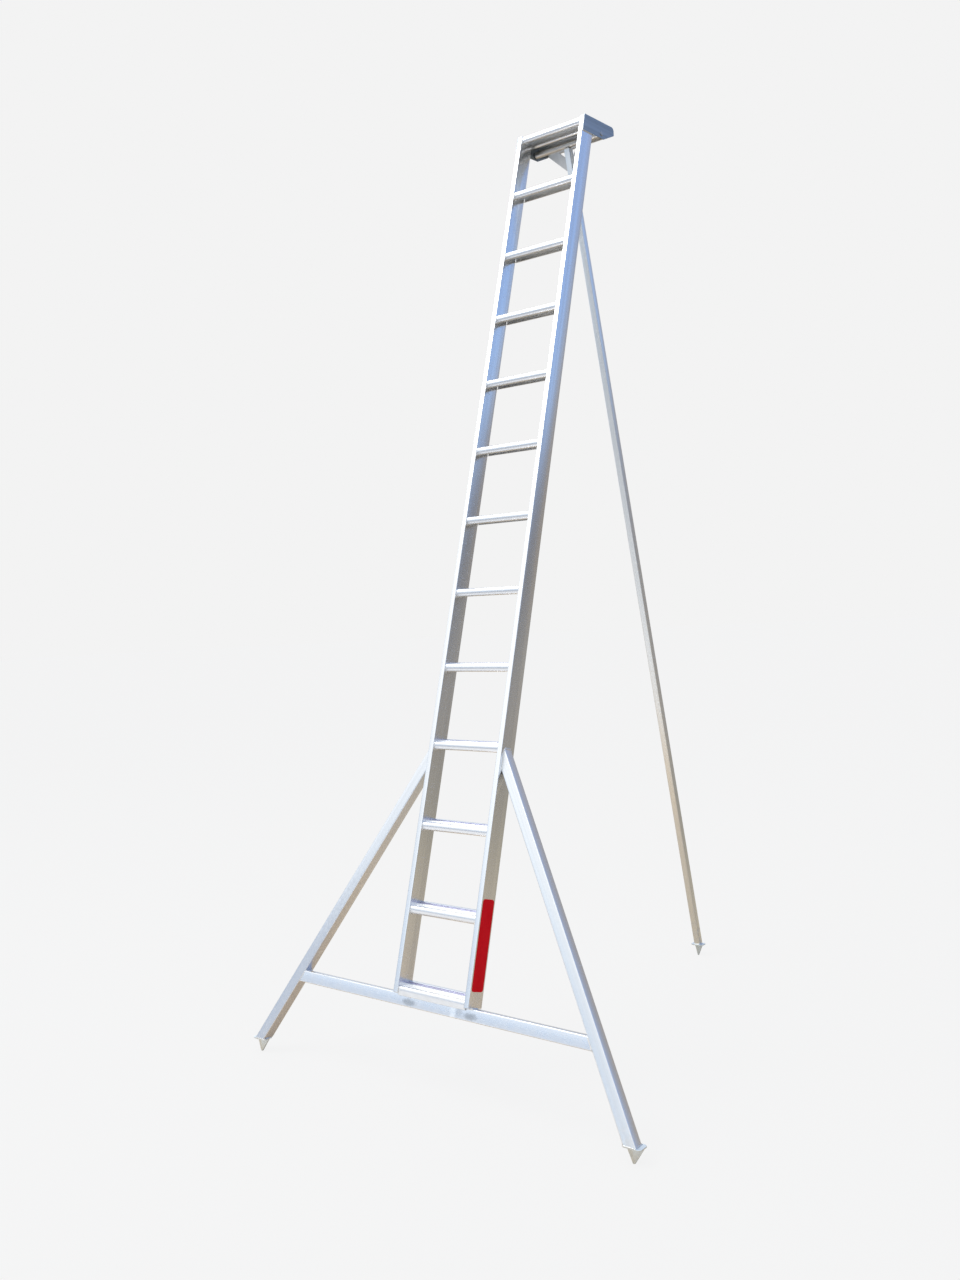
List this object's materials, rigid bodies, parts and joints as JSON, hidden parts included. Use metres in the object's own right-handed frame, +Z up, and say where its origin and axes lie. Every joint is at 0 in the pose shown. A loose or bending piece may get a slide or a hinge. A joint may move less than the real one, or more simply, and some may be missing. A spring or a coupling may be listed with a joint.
{
  "type": "tripod ladder",
  "caption": "Aluminium tripod ladder with box stiles, ribbed treads, splayed front legs, cross bar and a hinged rear prop leg on spiked feet.",
  "frame": {"origin": "centre of the footprint, on the ground plane under the three spike tips", "axes": "+X to the climber's right, -Y towards the climber, +Y towards the rear prop leg, +Z up"},
  "size_m": [1.7814, 1.9659, 3.768],
  "materials": {
    "tread_extrusion": "mill-finish extruded aluminium, ribbed on top, lightly scuffed",
    "stile_tube": "mill-finish extruded aluminium box section with fine die lines",
    "leg_tube": "mill-finish extruded aluminium square tube",
    "rear_tube": "mill-finish aluminium tube, slightly dull",
    "end_plate": "rolled aluminium plate, cut edges deburred",
    "bracket_plate": "rolled aluminium plate, welded",
    "foot_metal": "thick aluminium plate and angle, scraped by soil",
    "hinge_steel": "zinc-plated steel",
    "bush_plastic": "black nylon",
    "label_red": "plain red vinyl on a thin plate, no print"
  },
  "bodies": {
    "front_frame": {"stile_left": "stile_tube", "stile_right": "stile_tube", "tread_01": "tread_extrusion", "tread_02": "tread_extrusion", "tread_03": "tread_extrusion", "tread_04": "tread_extrusion", "tread_05": "tread_extrusion", "tread_06": "tread_extrusion", "tread_07": "tread_extrusion", "tread_08": "tread_extrusion", "tread_09": "tread_extrusion", "tread_10": "tread_extrusion", "tread_11": "tread_extrusion", "tread_12": "tread_extrusion", "front_leg_left": "leg_tube", "front_leg_right": "leg_tube", "crossbar": "leg_tube", "foot_plate_left": "foot_metal", "spike_left": "foot_metal", "foot_plate_right": "foot_metal", "spike_right": "foot_metal", "platform_plank_front": "tread_extrusion", "platform_plank_middle": "tread_extrusion", "platform_plank_rear": "tread_extrusion", "end_plate_left": "end_plate", "end_plate_right": "end_plate", "hinge_rod": "hinge_steel", "hinge_washer_left": "hinge_steel", "hinge_washer_right": "hinge_steel", "label_plate": "label_red"},
    "rear_leg": {"hinge_tube": "rear_tube", "hinge_bush_left": "bush_plastic", "hinge_bush_right": "bush_plastic", "rear_leg_tube": "rear_tube", "gusset_left": "bracket_plate", "gusset_right": "bracket_plate", "stop_lug_left": "bracket_plate", "stop_lug_right": "bracket_plate", "foot_plate_rear": "foot_metal", "spike_rear": "foot_metal"}
  },
  "joints": [
    {"name": "rear_leg_hinge", "type": "hinge", "parent": "front_frame", "child": "rear_leg", "pos_m": [0, 0.20588, 3.713], "axis": [1, 0, 0], "range_deg": [-27.9, 0]}
  ]
}
